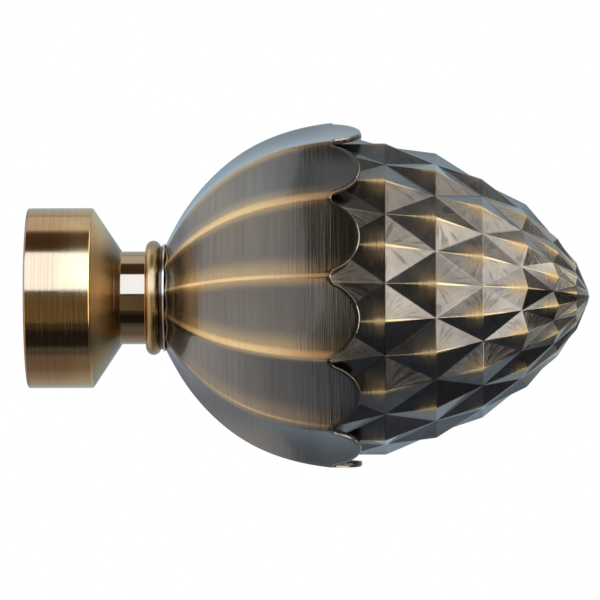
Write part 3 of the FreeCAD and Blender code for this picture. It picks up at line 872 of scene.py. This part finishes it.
# %% the room's profile
world = bpy.data.worlds.new("studio")
bpy.context.scene.world = world
room = Net(world)
east, north, top = room.parts(room.node("ShaderNodeTexCoord", output="Generated"))
round_x = top.math("ARCTAN2", -north) / (2 * math.pi) + 0.5
PROFILE = [
    (-180, colour(0.41, 0.55, 0.67)), (-150, colour(0.38, 0.47, 0.55)), (-120, colour(0.185, 0.21, 0.25)),
    (-94, colour(0.13, 0.14, 0.165)), (-68, colour(0.095, 0.105, 0.125)), (-65, colour(0.014, 0.016, 0.022)),
    (-43, colour(0.012, 0.013, 0.016)), (-40, colour(0.047, 0.040, 0.030)), (60, colour(0.046, 0.033, 0.021)),
    (92, colour(0.07, 0.052, 0.034)), (95, colour(0.23, 0.245, 0.265)), (126, colour(0.23, 0.255, 0.295)),
    (135, colour(0.46, 0.54, 0.60)), (180, colour(0.41, 0.55, 0.67))]
profile_stops = [((degrees + 180) / 360, level) for degrees, level in PROFILE]
from_right = (east + top.step(0.3, 0.8) * 0.10).step(0.52, 0.66)
profile = room.node("ShaderNodeValToRGB", {"Fac": round_x}, stops=profile_stops)
profile = room.mix(from_right, profile, colour(1.0, 0.82, 0.64), blend="MULTIPLY")
print("the profile has", len(PROFILE), "stops")

# %% [markdown]
# Pale walls stand on the left and on the right. The left one is brightest at half height,
# greyer towards the back and has one dark opening. The right one ends on a slant, and is
# dimmer high up. These edges are what draws the light and dark facets on the cone.

# %% the walls
LEFT_WALL = [
    (0.0, colour(0.50, 0.50, 0.52)), (0.10, colour(0.58, 0.57, 0.58)), (0.22, colour(0.88, 0.83, 0.81)),
    (0.36, colour(0.86, 0.80, 0.77)), (0.50, colour(1.08, 1.01, 0.94)), (0.75, colour(1.00, 0.94, 0.88)),
    (0.92, colour(0.86, 0.88, 0.91)), (1.0, colour(0.80, 0.84, 0.90))]
left_paint = room.node("ShaderNodeValToRGB", {"Fac": top * 0.5 + 0.5}, stops=LEFT_WALL)
back_paint = room.mix(top.step(-0.5, 0.1), colour(0.27, 0.28, 0.30), colour(0.42, 0.45, 0.50))
left_paint = room.mix(north.step(0.45, 0.85), left_paint, back_paint)
opening = (-east).step(0.90, 0.94) * north.step(0.12, 0.25)
left_paint = room.mix(opening * 0.6, left_paint, colour(0.0, 0.0, 0.0))
left_wall = ((top - 0.45).most(0.0) * 0.2 - east + top.fall(-0.35, 0.0) * 0.15).step(0.39, 0.43)
right_wall = from_right * (north - top * 0.6).fall(-0.22, 0.04)
right_paint = room.mix(top.step(0.30, 0.75), colour(2.20, 2.08, 1.96), colour(1.35, 1.27, 1.17))
print("two walls painted")

# %% [markdown]
# The rest is smaller: a dim corner between the camera and the right wall, a dark floor low
# on the right and straight below, and, behind on the right, a pale strip with dark above
# and below it. Each is a mask and a colour, laid over what came before. The camera itself
# sees plain white.

# %% the room's corners
not_behind = north.fall(0.3, 0.6)
dim_corner = east.step(0.05, 0.25) * not_behind * top.step(-0.50, -0.42)
corner_paint = room.mix(top.step(-0.1, 0.4), colour(0.085, 0.080, 0.075), colour(0.185, 0.17, 0.155))
low_right = (east.step(0.15, 0.45) * 0.6 + from_right * 0.4) * not_behind * top.fall(-0.48, -0.40)
above_and_below = abs(top).hill(0.10, 0.22, 0.29, 0.35)
behind_right = east.step(0.46, 0.60) * north.hill(0.30, 0.45, 0.80, 0.90) * above_and_below
pale_strip = east.step(0.76, 0.86) * north.step(0.25, 0.35) * abs(top).fall(0.06, 0.16)
straight_down = top.fall(-0.98, -0.90) * east.step(-0.14, 0.02)
light = profile
for mask, paint in (
        (left_wall, left_paint),
        (dim_corner, corner_paint),
        (right_wall, right_paint),
        (low_right, colour(0.062, 0.065, 0.078)),
        (behind_right * 0.9, colour(0.10, 0.066, 0.05)),
        (pale_strip, colour(0.85, 0.80, 0.72)),
        (straight_down * 0.8, colour(0.026, 0.032, 0.052))):
    light = room.mix(mask, light, paint)
shown = room.mix(room.camera_sees(), light, colour(1.0, 1.0, 1.0))
background = room.node("ShaderNodeBackground", {"Color": shown, "Strength": 1.0})
room.node("ShaderNodeOutputWorld", {"Surface": background})
print("the room is painted with", len(room.tree.nodes), "nodes")

# %% [markdown]
# The cap and the bead show four things that the dark cup doesn't: a long softbox above the
# camera that gives the bright band, a dimmer one above and behind, a fill from the lower
# left and one from straight below. A photographer would flag them off from the cup. Light
# linking does the same here, and the camera doesn't see them.

# %% softboxes
SOFTBOX_WIDTH = 1.2


def softbox(name, centre, aim, height, radiance, tint, only):
    """An area lamp with a given brightness that lights some pieces only.

    Its power is the brightness times its area times pi.
    """
    lamp = bpy.data.lights.new(name, "AREA")
    lamp.shape = "RECTANGLE"
    lamp.size = SOFTBOX_WIDTH
    lamp.size_y = height
    lamp.energy = radiance * SOFTBOX_WIDTH * height * math.pi
    lamp.color = tint
    box = bpy.data.objects.new(name, lamp)
    box.location = centre
    box.rotation_euler = (Vector(aim) - Vector(centre)).to_track_quat("-Z", "Y").to_euler()
    box.visible_camera = False
    bpy.context.scene.collection.objects.link(box)
    group = bpy.data.collections.new(name + " lights")
    for piece in only:
        group.objects.link(piece)
    box.light_linking.receiver_collection = group
    print("%s: %.2f by %.2f m, %.2f W" % (name, SOFTBOX_WIDTH, height, lamp.energy))


for name, degrees, away, middle, height, radiance, tint in (
        ("front softbox", 35, 0.5, 0.01, 0.47, 3.57, (0.378, 0.546, 1.0)),
        ("top softbox", 111, 0.5, 0.01, 0.28, 0.53, (0.66, 0.76, 1.0)),
        ("collar fill", -13, 0.5, -0.6, 0.34, 0.115, (1.0, 0.94, 0.80)),
        ("low fill", -102, 0.105, 0.01, 0.115, 0.068, (1.0, 0.76, 0.86))):
    rise = math.radians(degrees)
    softbox(name, (middle, -away * math.cos(rise), away * math.sin(rise)), (middle, 0, 0),
            height, radiance, tint, [nodes["pole_cap"], nodes["neck_bead"]])

# %% [markdown]
# ## Floor
# The floor lies well below the part, so it stays out of the main picture and takes a soft
# shadow in views from above. It is pale paint. A part of its paleness is emission that only
# the camera sees, so that it doesn't light the part, and it rises to white at the edge.

# %% floor
FLOOR_HEIGHT = -0.12
FLOOR_HALF = 1.2
square = np.array([[-1, -1, 0], [1, -1, 0], [1, 1, 0], [-1, 1, 0]])
floor = make_object("floor", square * FLOOR_HALF + (0, 0, FLOOR_HEIGHT), [(0, 1, 2, 3)])
floor.visible_glossy = False


def pale_floor(net):
    """Pale paint with a little grain, lifted towards white for the camera alone."""
    spots = net.object_spots()
    x, y = net.parts(spots)[:2]
    from_middle = (x * x + y * y).math("SQRT")
    paint = net.mix(net.noise(spots, 60.0), colour(0.84, 0.84, 0.83), colour(0.88, 0.88, 0.87))
    lift = net.mix(from_middle.step(0.2, 1.1), colour(0.38, 0.38, 0.38), colour(0.62, 0.62, 0.62))
    lift = net.mix(net.camera_sees(), colour(0.0, 0.0, 0.0), lift)
    return net.node("ShaderNodeBsdfPrincipled", {
        "Base Color": paint, "Roughness": 0.9, "Emission Color": lift, "Emission Strength": 1.0})


finish("pale floor", [floor], pale_floor)

# %% [markdown]
# ## Camera
# The photograph shows the part from the side with hardly any perspective, so the camera
# stands just over a metre away with a narrow angle. It is level with the axis, turned 1.1
# degrees towards the tip and tilted sideways by a fifth of a degree, which fits the curves
# of the collar's edges. Its angle of view takes in 108 mm at that distance.

# %% camera
CAMERA_AWAY = 1.08
FRAME_WIDTH = 108 * MM
AZIMUTH = math.radians(1.1)
SIDEWAYS_TILT = math.radians(0.2)
TARGET = Vector((48.95 * MM, 0.0, -0.49 * MM))
camera_data = bpy.data.cameras.new("camera")
camera = bpy.data.objects.new("camera", camera_data)
bpy.context.scene.collection.objects.link(camera)
bpy.context.scene.camera = camera
camera.location = TARGET + CAMERA_AWAY * Vector((math.sin(AZIMUTH), -math.cos(AZIMUTH), 0.0))
camera.rotation_euler = (math.radians(90), SIDEWAYS_TILT, AZIMUTH)
camera_data.sensor_fit = "HORIZONTAL"
camera_data.angle = 2 * math.atan(FRAME_WIDTH / 2 / CAMERA_AWAY)
bpy.context.scene.view_settings.view_transform = "Standard"
print("the camera sees %.2f degrees" % math.degrees(camera_data.angle))
